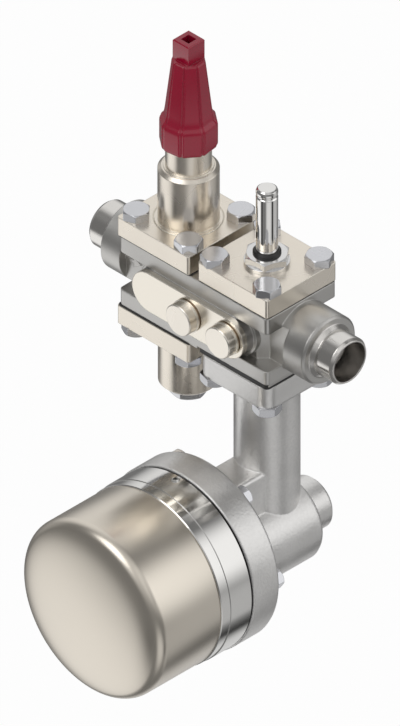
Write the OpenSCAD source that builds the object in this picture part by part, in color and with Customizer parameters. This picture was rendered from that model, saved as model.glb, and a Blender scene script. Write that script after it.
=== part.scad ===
// Refrigeration valve station: a four-module valve body between two butt-weld ends, with a
// capped stop valve, a strainer and a solenoid module, and a float drain hung below the outlet side.
// X runs with the flow, Z is up, and the origin is the centre of the inlet weld end's face.

/* [Body] */
// Length between the faces of the two weld ends
body_length = 224; // [218:1:260]
// Distance between the axes of the two pairs of modules
module_pitch = 72; // [70:1:74]
// Reach of the body's machined plates from a module axis
plate_half = 32; // [32:0.5:34]
// Thickness of each plate
plate_thick = 12; // [10:0.5:13]
// Height of the top face above the pipe axis, the same below it
body_half = 27; // [26:0.5:29]
// Corner radius of the plates
plate_corner = 3; // [1:0.5:4]
// Half depth of the cast waist between the plates
waist_half = 24.3; // [22:0.1:25]
// Half depth over the flats of the necks
neck_half = 18.3; // [16:0.1:20]
// Radius of the round hubs in front of the weld ends
hub_r = 24.7; // [22:0.1:26]
// Length from the end of a plate to the end of its hub
hub_length = 25.5; // [20:0.5:28]
// Outer radius of the weld ends
pipe_r = 16.85; // [15:0.05:18]
// Inner radius of the weld ends
pipe_bore_r = 14.25; // [11:0.05:14.5]
// Radius of the flow passages between the modules
passage_r = 9.5; // [8:0.1:9.8]
// Radius of the bores that take the modules
module_bore_r = 17.5; // [17:0.1:18]

/* [Covers and bolts] */
// Side of the square covers of the stop valve and the strainer
cover_side = 66; // [64:0.5:68]
// Side of the solenoid module's square cover
solenoid_side = 64; // [62:0.5:68]
// Thickness of a cover plate
cover_thick = 14; // [12:0.5:16]
// Thickness of a flat gasket on top of the body
gasket_thick = 1; // [0.5:0.1:1.5]
// Bolt spacing of every module, both ways
bolt_spacing = 48; // [46:0.5:50]
// Radius of a cover bolt's shank
bolt_r = 5; // [4:0.25:5]
// Width across the flats of a cover bolt's head
bolt_flats = 17; // [15:0.5:17]
// Height of a cover bolt's head
bolt_head = 6.4; // [5:0.1:7]
// How far a cover bolt reaches into the body
bolt_grip = 9.5; // [7:0.5:9.5]

/* [Stop valve] */
// Radius of the bonnet
bonnet_r = 20.3; // [19:0.1:21.5]
// Height of the bonnet above its cover plate
bonnet_height = 42.4; // [38:0.1:46]
// Radius of the threaded neck under the cap
neck_r = 15.3; // [14.5:0.1:15.8]
// Radius of the spindle
spindle_r = 5; // [4:0.25:5.5]
// Lift of the valve disc from its seat
stop_lift = 12; // [8:0.5:13]

/* [Seal cap] */
// Outer radius of the cap's skirt
cap_r = 19.4; // [18.8:0.1:20.5]
// Height of the cap above the bottom edge of its skirt
cap_height = 82.7; // [78:0.1:90]
// Height of the skirt
skirt_height = 20.5; // [18:0.5:23]
// Side of the square drive on top of the cap
drive_side = 14.7; // [13:0.1:15.5]
// Side of the square socket in the drive
socket_side = 7.3; // [5:0.1:8]

/* [Strainer] */
// Outer radius of the strainer housing
strainer_r = 20; // [19:0.1:21]
// Length of the housing below its cover plate
strainer_length = 46; // [38:0.5:56]
// Outer radius of the screen
screen_r = 13.5; // [12.5:0.1:14]
// Radius of the holes in the screen
screen_hole_r = 1.9; // [1.2:0.1:2.2]

/* [Solenoid module] */
// Outer radius of the armature tube
tube_r = 7.35; // [7:0.05:7.8]
// Height of the armature tube above its cover plate
tube_height = 59; // [52:0.5:66]
// Lift of the armature
armature_lift = 5; // [3:0.5:5]
// Lift of the main piston
piston_lift = 4; // [2:0.5:4]

/* [Float drain] */
// Radius of the vertical column under the outlet side of the body
column_r = 21.8; // [20:0.1:23]
// Depth of the float pot's axis below the pipe axis
pot_depth = 155; // [150:0.5:165]
// Depth of the drain valve's axis below the pot's axis
drain_drop = 14.1; // [12:0.1:16]
// Radius of the drain valve's round housing
drain_r = 31.3; // [29:0.1:33]
// Thickness of the cast round flange
flange_thick = 23.7; // [20:0.1:26]
// Distance from the column's axis to the front face of the round flange
flange_face = 78.2; // [77:0.1:84]
// Length of the turned ring
ring_length = 28; // [24:0.5:32]
// Outer radius of the drawn pot
pot_r = 64.4; // [60:0.1:72]
// Step from the pot's wall out to the turned ring that carries it
ring_step = 1.1; // [0.5:0.1:2.5]
// Step from the turned ring out to the cast round flange
flange_step = 0.9; // [0.2:0.1:2.5]
// Length of the pot in front of its ring
pot_length = 60; // [58:0.5:70]
// Wall of the pot
pot_wall = 3.5; // [2:0.1:4]
// Radius round the pot's front edge
pot_edge = 8; // [6:0.5:12]
// Room between the float ball and the bore of the ring
float_room = 13; // [12.5:0.5:17]

/* [Hidden] */
$fn = 96;
eps = 0.01;
run_gap = 0.05;
free_gap = 0.3;

mid_x = body_length / 2;
inlet_side = mid_x - module_pitch / 2;
outlet_side = mid_x + module_pitch / 2;
plate_end = module_pitch / 2 + plate_half;
hub_end = plate_end + hub_length;
neck_end = plate_end + 7;
weld_bevel = 2.2;
cover_corner = 2;
cover_seat = body_half + gasket_thick;
cover_top = cover_seat + cover_thick;
bolt_hole_r = bolt_r + 0.5;
tap_depth = bolt_grip + 1.5;

boss_y = 27;
boss_r = 17;
pad_y = 37;
pad_r = 15;
plug_r = 11.3;
plug_y = 46;
plug_thread_r = 8.5;
port_depth = 14;
washer_thick = 0.8;

ledge_z = -10;
seat_thick = 4.5;
seat_z = ledge_z + seat_thick;
seat_bore_r = 9;
pocket_r = module_bore_r - 0.5;
pocket_top = -17;
transfer_r = 3.5;
transfer_z = -(body_half - transfer_r - 2);
rise_r = passage_r - 1.5;
port_r = 5;
arrow_rise = 0.8;
return_x = 25;
return_r = 4.5;

disc_r = 12.6;
seal_r = 11.8;
seal_in_r = 8;
seal_thick = 2;
disc_thick = 9;
disc_hub = 10;
disc_room = 20.5;
head_r = 7;
head_thick = 5.4;
packing_bottom = 72;
packing_length = 14;
gland_r = 9;
bonnet_top = cover_top + bonnet_height;
neck_top = bonnet_top + 25.6;
gland_flats = 18;
gland_head = 6;
spindle_top = neck_top + 38;
cap_bottom = bonnet_top + 16;
cap_top = cap_bottom + cap_height;
cap_gasket_thick = 2;
cap_shoulder = neck_top + cap_gasket_thick;
cap_bore_r = gland_flats / 2 / cos(30) + 0.6;
cone_bottom = cap_bottom + skirt_height + 5;
cone_bottom_r = 15.6;
cone_top_r = 11.2;
drive_height = 16;
flute_r = 2.4;

strainer_bottom = -(cover_top + strainer_length);
strainer_bore_r = strainer_r - 3.5;
screen_wall = 0.8;
screen_floor = strainer_bottom + 6;
drain_hole_r = 7;
drain_plug_r = 12;

tube_wall = 1.2;
tube_top = cover_top + tube_height;
tube_foot_r = 10;
tube_foot = 2;
nut_spigot_r = 12.5;
nut_spigot = 4;
foot_z = cover_top - nut_spigot - tube_foot;
spring_pocket = 10;
spring_r = 3;
nut_flats = 27;
nut_base = 2.5;
nut_height = 8;
bush_r = 9.4;
bush_height = 2.4;
armature_r = tube_r - tube_wall - run_gap;
armature_bottom = cover_top - 2;
armature_top = tube_top - 15;
tube_ceiling = armature_top + armature_lift + 1;
stem_r = 2;
sleeve_bore_r = 12;
sleeve_bottom = 4;
sleeve_ceiling = cover_seat + 2;
piston_top = sleeve_ceiling - piston_lift - 4;
piston_r = sleeve_bore_r - run_gap;

float_gasket_thick = 3.8;
seat_step = 1.8;
float_seat = -(body_half - seat_step);
float_top = float_seat - float_gasket_thick;
float_flange = 17;
float_bottom = float_top - float_flange;
float_corner = 9;
feed_x = -5;
feed_r = 6.5;
riser_x = 11;
pot_z = -pot_depth;
drain_z = pot_z - drain_drop;
flange_back = -flange_face + flange_thick;
feed_z = pot_z + 27;
box_half = 14.7;
box_top = -110.6;
rear_y = column_r + 0.1;
chamber_r = 22;
chamber_end = -30;
seat_r = 10;
outlet_r = 14;
outlet_front = -20;
rear_plug_r = 18.8;
rear_plug_length = 20;
rear_washer_thick = 1.5;

ring_r = pot_r + ring_step;
flange_r = ring_r + flange_step;
ring_front = -flange_face - ring_length;
ring_wall = 16.5;
ring_bore_r = ring_r - ring_wall;
seam_width = 1.3;
seam_depth = 1.6;
pot_front = ring_front - pot_length;
pot_bolt_inset = 7.5;
pot_bolt_circle = ring_r - pot_bolt_inset;
pot_bolt_r = 4;
pot_bolt_flats = 13;
pot_bolt_head = 6;
pot_bolt_reach = 16;
seal_wire_r = 0.8;
seal_groove_r = ring_bore_r + 2;

crank = 12;
pivot_y = -60;
pivot_z = drain_z + crank;
pin_r = 2.5;
hub_half = 6;
ear_thick = 3.7;
arm_r = 3;
finger_r = 2.4;
fork_thick = 1.6;
groove_half = finger_r + 0.6;
ball_end_room = 4.7;
ball_r = min(ring_bore_r - float_room, (ring_length + pot_length - pot_wall) / 2 - ball_end_room);
ball_y = pot_front + pot_wall + ball_end_room + ball_r;
ball_neck_r = 6;
ball_neck = 12;
ball_neck_out = 3;
bracket_y = -50;
bracket_thick = 6;
ear_r = 6;
slot_circle = 13.5;
slot_r = 3.5;
ball_angle = atan(crank / (pivot_y - ball_y));
ball_reach = (pivot_y - ball_y) / cos(ball_angle);
ball_wall = 1.2;
drain_seat_face = -34;
drain_stem_r = 4;
drain_disc_r = 6;

// A square with true round corners, centred on the origin
module rounded_square(w, d, r) {
    square([w - 2 * r, d], center = true);
    square([w, d - 2 * r], center = true);
    for (sx = [-1, 1], sy = [-1, 1])
        translate([sx * (w / 2 - r), sy * (d / 2 - r)]) circle(r);
}

module plate(w, d, r, z, h) translate([0, 0, z]) linear_extrude(h) rounded_square(w, d, r);

// The four corners of a module's bolt pattern
module at_bolts() {
    for (sx = [-1, 1], sy = [-1, 1])
        translate([sx * bolt_spacing / 2, sy * bolt_spacing / 2, 0]) children();
}

module at_inlet() translate([inlet_side, 0, 0]) children();
module at_outlet() translate([outlet_side, 0, 0]) children();

// A cylinder along Y from one depth to another
module along_y(y0, y1, r, z = 0) translate([0, y0, z]) rotate([-90, 0, 0]) cylinder(h = y1 - y0, r = r);

// A ring or tube standing on the XY plane
module tube(z0, z1, r_out, r_in) {
    translate([0, 0, z0]) difference() {
        cylinder(h = z1 - z0, r = r_out);
        translate([0, 0, -eps]) cylinder(h = z1 - z0 + 2 * eps, r = r_in);
    }
}

// A hexagon head standing on the XY plane, its upper corners turned to a chamfer
module hex_head(flats, h, turn = 0) {
    corner = flats / 2 / cos(30);
    intersection() {
        rotate(turn) cylinder(h = h, r = corner, $fn = 6);
        union() {
            cylinder(h = h - 1, r = corner + eps);
            translate([0, 0, h - 1]) cylinder(h = 1, r1 = corner + eps, r2 = flats / 2 - 0.1);
        }
    }
}

// A hexagon bolt, its head standing on the XY plane and its shank pointing down
module hex_bolt(flats, head, shank_r, length, turn = 0) {
    hex_head(flats, head, turn);
    translate([0, 0, -length]) cylinder(h = length + eps, r = shank_r);
    translate([0, 0, -length - 1]) cylinder(h = 1 + eps, r1 = shank_r - 1, r2 = shank_r);
}

// A round wire bent to a helix between two heights
module coil_spring(r, wire_r, turns, z0, z1) {
    sides = 8;
    steps = 20 * turns;
    rise = z1 - z0 - 2 * wire_r;
    points = [for (i = [0:steps], j = [0:sides - 1])
        let (a = 360 * turns * i / steps, b = 360 * j / sides)
        [(r + wire_r * cos(b)) * cos(a), (r + wire_r * cos(b)) * sin(a),
            z0 + wire_r + rise * i / steps + wire_r * sin(b)]];
    walls = [for (i = [0:steps - 1], j = [0:sides - 1])
        [i * sides + j, (i + 1) * sides + j, (i + 1) * sides + (j + 1) % sides,
            i * sides + (j + 1) % sides]];
    ends = [[for (j = [0:sides - 1]) j], [for (j = [sides - 1:-1:0]) steps * sides + j]];
    polyhedron(points, concat(walls, ends), convexity = 10);
}

// Half of the outside of the body, turned about the pipe axis
module end_half() {
    rotate([0, 90, 0]) rotate_extrude() polygon([
        [0, module_pitch / 2], [hub_r, module_pitch / 2], [hub_r, hub_end - 1.5],
        [hub_r - 1.5, hub_end], [pipe_r + 2.5, hub_end], [pipe_r, hub_end + 3],
        [pipe_r, mid_x - weld_bevel], [pipe_bore_r + 1, mid_x], [0, mid_x]]);
}

// Flow passage from a weld end's bore down to the smaller passage, which ends at a depth in the body
module end_bore(inner) {
    rotate([0, 90, 0]) rotate_extrude() polygon([
        [0, mid_x + eps], [pipe_bore_r, mid_x + eps], [pipe_bore_r, hub_end],
        [passage_r, hub_end - 8], [passage_r, inner], [0, inner]]);
}

// What is taken off both sides of the hubs to leave the flat necks
module neck_flats() {
    for (s = [-1, 1]) translate([0, s * (neck_half + hub_r), 0])
        cube([2 * neck_end, 2 * hub_r, 3 * hub_r], center = true);
}

// A raised arrow on the inlet neck that shows which way the flow runs
module flow_arrow() {
    translate([-(plate_end + neck_end) / 2 + 4, -neck_half + eps, 0]) rotate([90, 0, 0])
        linear_extrude(arrow_rise) polygon([
            [-8, -1.4], [0, -1.4], [0, -4.2], [7, 0], [0, 4.2], [0, 1.4], [-8, 1.4]]);
}

module waist() {
    step = waist_half - neck_half;
    wide = plate_end - 17;
    translate([0, 0, -body_half + 1]) linear_extrude(2 * body_half - 2) polygon([
        [-wide - step, -neck_half], [-wide, -waist_half], [wide, -waist_half],
        [wide + step, -neck_half], [wide + step, neck_half], [wide, waist_half],
        [-wide, waist_half], [-wide - step, neck_half]]);
}

// The cast boss on the front, and the machined pad that the side ports open in
module side_boss() {
    for (pad = [[boss_y, boss_r], [pad_y, pad_r]]) {
        for (s = [-1, 1]) translate([s * module_pitch / 2, 0, 0]) along_y(-pad[0], 0, pad[1]);
        translate([-module_pitch / 2, -pad[0], -pad[1]]) cube([module_pitch, pad[0], 2 * pad[1]]);
    }
}

module cast_outside() {
    for (z = [-body_half, body_half - plate_thick])
        plate(2 * plate_end, 2 * plate_half, plate_corner, z, plate_thick);
    waist();
    difference() {
        union() {
            end_half();
            rotate(180) end_half();
        }
        neck_flats();
    }
    side_boss();
    flow_arrow();
}

module body_bores() {
    end_bore(module_pitch / 2 + return_x - return_r);
    rotate(180) end_bore(module_pitch / 2 + module_bore_r - 3);
    translate([-module_pitch / 2, 0, 0]) {
        translate([0, 0, ledge_z]) cylinder(h = body_half - ledge_z + eps, r = module_bore_r);
        translate([0, 0, pocket_top - eps]) cylinder(h = ledge_z - pocket_top + 2 * eps, r = seat_bore_r);
        translate([0, 0, -body_half - eps]) cylinder(h = body_half + pocket_top + eps, r = pocket_r);
        for (s = [-1, 1]) translate([0, s * (transfer_r + 1), transfer_z]) rotate([0, 90, 0])
            cylinder(h = module_pitch / 2, r = transfer_r);
    }
    translate([0, 0, transfer_z]) cylinder(h = -transfer_z, r = rise_r);
    sphere(rise_r);
    rotate([0, 90, 0]) cylinder(h = module_pitch / 2, r = rise_r);
    translate([module_pitch / 2, 0, 0]) {
        translate([0, 0, ledge_z]) cylinder(h = body_half - ledge_z + eps, r = module_bore_r);
        translate([0, 0, -body_half - eps]) cylinder(h = body_half + ledge_z + 2 * eps, r = seat_bore_r);
        translate([return_x, 0, -body_half - eps]) cylinder(h = body_half, r = return_r);
    }
    for (x = [0, module_pitch / 2]) translate([x, 0, 0]) {
        along_y(-pad_y - eps, -pad_y + port_depth, plug_thread_r + run_gap);
        along_y(-pad_y, 0, port_r);
    }
}

module bolt_holes() {
    for (s = [-1, 1]) translate([s * module_pitch / 2, 0, 0]) at_bolts() {
        translate([0, 0, body_half - tap_depth]) cylinder(h = tap_depth + 1, r = bolt_r + run_gap);
        translate([0, 0, -body_half - 1]) cylinder(h = tap_depth + 1, r = bolt_r + run_gap);
    }
}

module valve_body() color([0.62, 0.62, 0.61]) translate([mid_x, 0, 0]) difference() {
    cast_outside();
    body_bores();
    bolt_holes();
    translate([module_pitch / 2 - plate_half - free_gap, -plate_half - 1, -body_half - 1])
        cube([2 * plate_half, 2 * plate_half + 2, seat_step + 1]);
}

module port_plugs() color([0.91, 0.87, 0.8]) {
    seat = -pad_y - washer_thick;
    for (x = [mid_x, outlet_side]) translate([x, 0, 0]) {
        along_y(-plug_y + 0.6, seat, plug_r);
        translate([0, -plug_y, 0]) rotate([-90, 0, 0]) cylinder(h = 0.6 + eps, r1 = plug_r - 0.6, r2 = plug_r);
        along_y(seat - 1.4, seat, plug_r + 0.6);
        along_y(seat - eps, -pad_y + port_depth - 1, plug_thread_r);
    }
}

module port_washers() color([0.7, 0.45, 0.3]) {
    for (x = [mid_x, outlet_side]) translate([x, -pad_y, 0]) rotate([90, 0, 0])
        tube(0, washer_thick, plug_r - 0.7, plug_thread_r + run_gap);
}

// A flat gasket that follows a cover, with its bolt holes
module flat_gasket(side, z, thick, bore_r) {
    difference() {
        plate(side - 1, side - 1, cover_corner, z, thick);
        translate([0, 0, z - eps]) cylinder(h = thick + 2 * eps, r = bore_r);
        translate([0, 0, z - eps]) at_bolts() cylinder(h = thick + 2 * eps, r = bolt_hole_r);
    }
}

// A seat ring pressed on the ledge of a module bore, with a raised sealing lip
module seat_ring() {
    difference() {
        union() {
            translate([0, 0, ledge_z]) cylinder(h = seat_thick - 1, r = module_bore_r - run_gap);
            translate([0, 0, ledge_z]) cylinder(h = seat_thick, r = seat_bore_r + 2);
        }
        translate([0, 0, ledge_z - eps]) cylinder(h = seat_thick + 2 * eps, r = seat_bore_r);
    }
}

// The flat seal let into the underside of a valve disc
module disc_seal() tube(seat_z, seat_z + seal_thick, seal_r, seal_in_r);

module stop_gasket() color([0.25, 0.25, 0.26]) at_inlet()
    flat_gasket(cover_side, body_half, gasket_thick, module_bore_r);

module stop_seat() color([0.75, 0.76, 0.78]) at_inlet() seat_ring();

module cover_plate(side, z) {
    difference() {
        plate(side, side, cover_corner, z, cover_thick);
        at_bolts() translate([0, 0, z - eps]) cylinder(h = cover_thick + 2 * eps, r = bolt_hole_r);
    }
}

module stop_cover() color([0.8, 0.77, 0.71]) at_inlet() difference() {
    disc_bore_top = seat_z + disc_thick + disc_hub + stop_lift + disc_room;
    union() {
        cover_plate(cover_side, cover_seat);
        rotate_extrude() polygon([
            [0, body_half - 7], [module_bore_r - free_gap, body_half - 7],
            [module_bore_r - free_gap, cover_seat + 1], [bonnet_r, cover_seat + 1],
            [bonnet_r, bonnet_top - 3], [bonnet_r - 2.6, bonnet_top - 0.8],
            [bonnet_r - 3.6, bonnet_top - 0.8], [bonnet_r - 3.6, bonnet_top], [neck_r, bonnet_top],
            [neck_r, neck_top - 1], [neck_r - 1, neck_top], [0, neck_top]]);
    }
    rotate_extrude() polygon([
        [0, 0], [disc_r + free_gap + 0.2, 0], [disc_r + free_gap + 0.2, disc_bore_top],
        [spindle_r + run_gap, disc_bore_top + 6], [spindle_r + run_gap, packing_bottom],
        [gland_r + run_gap, packing_bottom], [gland_r + run_gap, neck_top + 1], [0, neck_top + 1]]);
    tube(cover_top - 0.5, cover_top + 1, bonnet_r + 2.9, bonnet_r + 2.3);
}

// Four cover bolts, each left at the angle it was tightened to
module cover_bolt_set(turns) {
    for (i = [0:3]) translate([(i % 2 * 2 - 1) * bolt_spacing / 2, (i < 2 ? -1 : 1) * bolt_spacing / 2, 0])
        translate([0, 0, cover_top])
            hex_bolt(bolt_flats, bolt_head, bolt_r, cover_thick + gasket_thick + bolt_grip, turns[i]);
}

module stop_cover_bolts() color([0.74, 0.75, 0.79]) at_inlet() cover_bolt_set([12, 50, 38, 5]);

module stop_disc() color([0.7, 0.71, 0.72]) at_inlet() difference() {
    rotate_extrude() polygon([
        [0, seat_z + free_gap], [disc_r, seat_z + free_gap], [disc_r, seat_z + disc_thick - 1],
        [disc_r - 1, seat_z + disc_thick], [head_r + 2.3, seat_z + disc_thick + 1.5],
        [head_r + 2.3, seat_z + disc_thick + disc_hub], [0, seat_z + disc_thick + disc_hub]]);
    tube(seat_z - 1, seat_z + seal_thick, seal_r, seal_in_r);
    translate([0, 0, seat_z + disc_thick + 1]) cylinder(h = head_thick + 2 * free_gap, r = head_r + free_gap);
    translate([0, 0, seat_z + disc_thick + 1]) cylinder(h = 20, r = spindle_r + free_gap);
}

module stop_disc_seal() color([0.93, 0.93, 0.9]) at_inlet() disc_seal();

module spindle() color([0.72, 0.73, 0.75]) at_inlet() {
    head_z = seat_z + disc_thick + 1 + free_gap;
    translate([0, 0, head_z]) cylinder(h = head_thick, r = head_r);
    translate([0, 0, head_z]) cylinder(h = spindle_top - 12 - head_z, r = spindle_r);
    square_side = spindle_r * 1.35;
    translate([-square_side / 2, -square_side / 2, spindle_top - 12 - eps])
        cube([square_side, square_side, 12 + eps]);
}

module spindle_packing() color([0.2, 0.2, 0.21]) at_inlet()
    tube(packing_bottom, packing_bottom + packing_length, gland_r, spindle_r + run_gap);

module gland_nut() color([0.76, 0.66, 0.45]) at_inlet() difference() {
    union() {
        translate([0, 0, packing_bottom + packing_length])
            cylinder(h = neck_top - packing_bottom - packing_length + eps, r = gland_r);
        translate([0, 0, neck_top]) hex_head(gland_flats, gland_head, 15);
    }
    cylinder(h = 2 * neck_top, r = spindle_r + free_gap);
}

module cap_gasket() color([0.2, 0.2, 0.21]) at_inlet()
    tube(neck_top, cap_shoulder, neck_r, cap_bore_r);

// Eight flutes round the cap, straight on the skirt and leaning with the cone above it
module cap_flutes() {
    lean = atan((cone_bottom_r - cone_top_r) / (cap_top - drive_height - cone_bottom));
    for (i = [0:7]) rotate(i * 45 - 60) {
        translate([cap_r + flute_r * 0.72, 0, cap_bottom - 1]) cylinder(h = skirt_height - 2, r = flute_r, $fn = 32);
        translate([cone_bottom_r + flute_r * 0.72, 0, cone_bottom]) rotate([0, -lean, 0])
            cylinder(h = cap_height, r = flute_r, $fn = 32);
    }
}

module seal_cap() color([0.48, 0.07, 0.13]) at_inlet() difference() {
    union() {
        difference() {
            rotate_extrude() polygon([
                [0, cap_bottom], [cap_r - 2, cap_bottom], [cap_r, cap_bottom + 2.5],
                [cap_r, cap_bottom + skirt_height - 2], [cap_r - 0.8, cap_bottom + skirt_height + 0.5],
                [cone_bottom_r + 1.2, cone_bottom - 1.8], [cone_bottom_r, cone_bottom],
                [cone_top_r, cap_top - drive_height], [drive_side / 2 + 0.6, cap_top - drive_height + 1.4],
                [0, cap_top - drive_height + 1.4]]);
            cap_flutes();
        }
        translate([-drive_side / 2, -drive_side / 2, cap_top - drive_height - 10])
            cube([drive_side, drive_side, drive_height + 10]);
    }
    rotate_extrude() polygon([
        [0, cap_bottom - 1], [neck_r + free_gap, cap_bottom - 1], [neck_r + free_gap, cap_shoulder],
        [cap_bore_r, cap_shoulder], [cap_bore_r, cap_shoulder + 16], [spindle_r + 2, cap_shoulder + 20],
        [spindle_r + 2, cap_top - drive_height - 6], [0, cap_top - drive_height - 3]]);
    translate([-socket_side / 2, -socket_side / 2, cap_top - 10]) cube([socket_side, socket_side, 11]);
}

module strainer_gasket() color([0.2, 0.2, 0.2]) at_inlet()
    mirror([0, 0, 1]) flat_gasket(cover_side, body_half, gasket_thick, pocket_r);

module strainer_cover() color([0.8, 0.77, 0.71]) at_inlet() difference() {
    union() {
        mirror([0, 0, 1]) cover_plate(cover_side, cover_seat);
        rotate_extrude() polygon([
            [0, -cover_seat - 1], [strainer_r, -cover_seat - 1], [strainer_r, strainer_bottom + 2.5],
            [strainer_r - 2.5, strainer_bottom], [0, strainer_bottom]]);
    }
    translate([0, 0, screen_floor]) cylinder(h = -screen_floor, r = strainer_bore_r);
    translate([0, 0, strainer_bottom - 1]) cylinder(h = 20, r = drain_hole_r + run_gap);
}

module strainer_bolts() color([0.74, 0.75, 0.79]) at_inlet()
    rotate([180, 0, 0]) cover_bolt_set([30, 5, 22, 48]);

module strainer_screen() color([0.75, 0.75, 0.76]) at_inlet() {
    rows = 6;
    row_pitch = (pocket_top - screen_floor - 8) / rows;
    difference() {
        union() {
            translate([0, 0, screen_floor]) cylinder(h = pocket_top - screen_floor, r = screen_r);
            translate([0, 0, pocket_top - 2]) cylinder(h = 2, r = pocket_r - free_gap);
        }
        translate([0, 0, screen_floor - 1])
            cylinder(h = pocket_top - screen_floor + 2, r = screen_r - screen_wall);
        for (i = [0:rows - 1], k = [0:3])
            translate([0, 0, screen_floor + 5 + row_pitch * i]) rotate([90, 0, k * 45 + i % 2 * 22.5])
                cylinder(h = 3 * screen_r, r = screen_hole_r, center = true, $fn = 16);
    }
}

module strainer_plug() color([0.78, 0.75, 0.69]) at_inlet() {
    translate([0, 0, strainer_bottom - washer_thick]) rotate([180, 0, 0]) hex_head(2 * drain_plug_r - 1, 7, 10);
    translate([0, 0, strainer_bottom - washer_thick - eps])
        cylinder(h = screen_floor - strainer_bottom + washer_thick - 1, r = drain_hole_r);
}

module strainer_plug_washer() color([0.7, 0.45, 0.3]) at_inlet()
    tube(strainer_bottom - washer_thick, strainer_bottom, drain_plug_r - 1, drain_hole_r + run_gap);

module solenoid_gasket() color([0.25, 0.25, 0.26]) at_outlet()
    flat_gasket(solenoid_side, body_half, gasket_thick, module_bore_r);

module solenoid_seat() color([0.75, 0.76, 0.78]) at_outlet() seat_ring();

module solenoid_cover() color([0.8, 0.77, 0.71]) at_outlet() difference() {
    union() {
        cover_plate(solenoid_side, cover_seat);
        translate([0, 0, sleeve_bottom])
            cylinder(h = cover_seat + 1 - sleeve_bottom, r = module_bore_r - free_gap);
    }
    translate([0, 0, sleeve_bottom - eps]) cylinder(h = sleeve_ceiling - sleeve_bottom, r = sleeve_bore_r);
    translate([0, 0, sleeve_bottom]) cylinder(h = cover_top, r = tube_r + free_gap);
    translate([0, 0, foot_z]) cylinder(h = tube_foot + eps, r = tube_foot_r + run_gap);
    translate([0, 0, cover_top - nut_spigot]) cylinder(h = nut_spigot + eps, r = nut_spigot_r + run_gap);
}

module solenoid_bolts() color([0.74, 0.75, 0.79]) at_outlet() cover_bolt_set([42, 28, 20, 55]);

module armature_tube() color([0.8, 0.8, 0.78]) at_outlet() difference() {
    rotate_extrude() polygon([
        [0, foot_z], [tube_foot_r, foot_z], [tube_foot_r, foot_z + tube_foot],
        [tube_r, foot_z + tube_foot], [tube_r, tube_top - 6.6], [tube_r - 0.7, tube_top - 5.8],
        [tube_r - 0.7, tube_top - 4.6], [tube_r, tube_top - 3.8], [tube_r, tube_top - 2.2],
        [tube_r - 0.5, tube_top - 0.8], [tube_r - 1.6, tube_top], [0, tube_top]]);
    translate([0, 0, foot_z - eps])
        cylinder(h = tube_ceiling - foot_z + eps, r = tube_r - tube_wall);
}

module tube_nut() color([0.78, 0.76, 0.72]) at_outlet() difference() {
    union() {
        translate([0, 0, cover_top - nut_spigot]) cylinder(h = nut_spigot + eps, r = nut_spigot_r);
        translate([0, 0, cover_top]) cylinder(h = nut_base, r = nut_flats / 2 / cos(30) - 0.4);
        translate([0, 0, cover_top + nut_base - eps]) hex_head(nut_flats, nut_height - nut_base, 8);
    }
    translate([0, 0, foot_z]) cylinder(h = nut_height + 20, r = tube_r + run_gap);
}

module tube_bush() color([0.06, 0.06, 0.06]) at_outlet() difference() {
    translate([0, 0, cover_top + nut_height]) rotate_extrude() polygon([
        [0, 0], [bush_r, 0], [bush_r, bush_height - 1.2], [bush_r - 1, bush_height], [0, bush_height]]);
    translate([0, 0, cover_top]) cylinder(h = 40, r = tube_r + run_gap);
}

module armature() color([0.7, 0.7, 0.72]) at_outlet() {
    difference() {
        translate([0, 0, armature_bottom]) cylinder(h = armature_top - armature_bottom, r = armature_r);
        translate([0, 0, armature_top - spring_pocket]) cylinder(h = spring_pocket + 1, r = spring_r + 1);
    }
    translate([0, 0, piston_top + seal_thick])
        cylinder(h = armature_bottom - piston_top - seal_thick + eps, r = stem_r);
}

module armature_seal() color([0.93, 0.93, 0.9]) at_outlet()
    translate([0, 0, piston_top]) cylinder(h = seal_thick, r = stem_r);

module armature_spring() color([0.7, 0.7, 0.72]) at_outlet()
    coil_spring(spring_r, 0.45, 4, armature_top - spring_pocket, tube_ceiling);

module piston() color([0.72, 0.72, 0.74]) at_outlet() difference() {
    translate([0, 0, seat_z + free_gap]) cylinder(h = piston_top - seat_z - free_gap, r = piston_r);
    tube(seat_z - 1, seat_z + seal_thick, seal_r, seal_in_r);
    translate([0, 0, seat_z - 1]) cylinder(h = piston_top - seat_z + 2, r = stem_r - 1);
    tube(piston_top - 8, piston_top - 5, piston_r + 1, piston_r - 1);
}

module piston_seal() color([0.93, 0.93, 0.9]) at_outlet() disc_seal();

module piston_spring() color([0.7, 0.7, 0.72]) at_outlet()
    coil_spring(sleeve_bore_r - 2.2, 0.6, 3, piston_top, sleeve_ceiling - eps);

module float_gasket() color([0.07, 0.07, 0.07]) at_outlet() difference() {
    translate([0, 0, float_top]) linear_extrude(float_gasket_thick)
        rounded_square(2 * plate_half - 0.6, 2 * plate_half - 0.6, plate_corner);
    translate([0, 0, float_top - eps]) {
        at_bolts() cylinder(h = 9, r = bolt_hole_r);
        cylinder(h = 9, r = seat_bore_r);
        translate([return_x, 0, 0]) cylinder(h = 9, r = return_r);
    }
}

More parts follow.
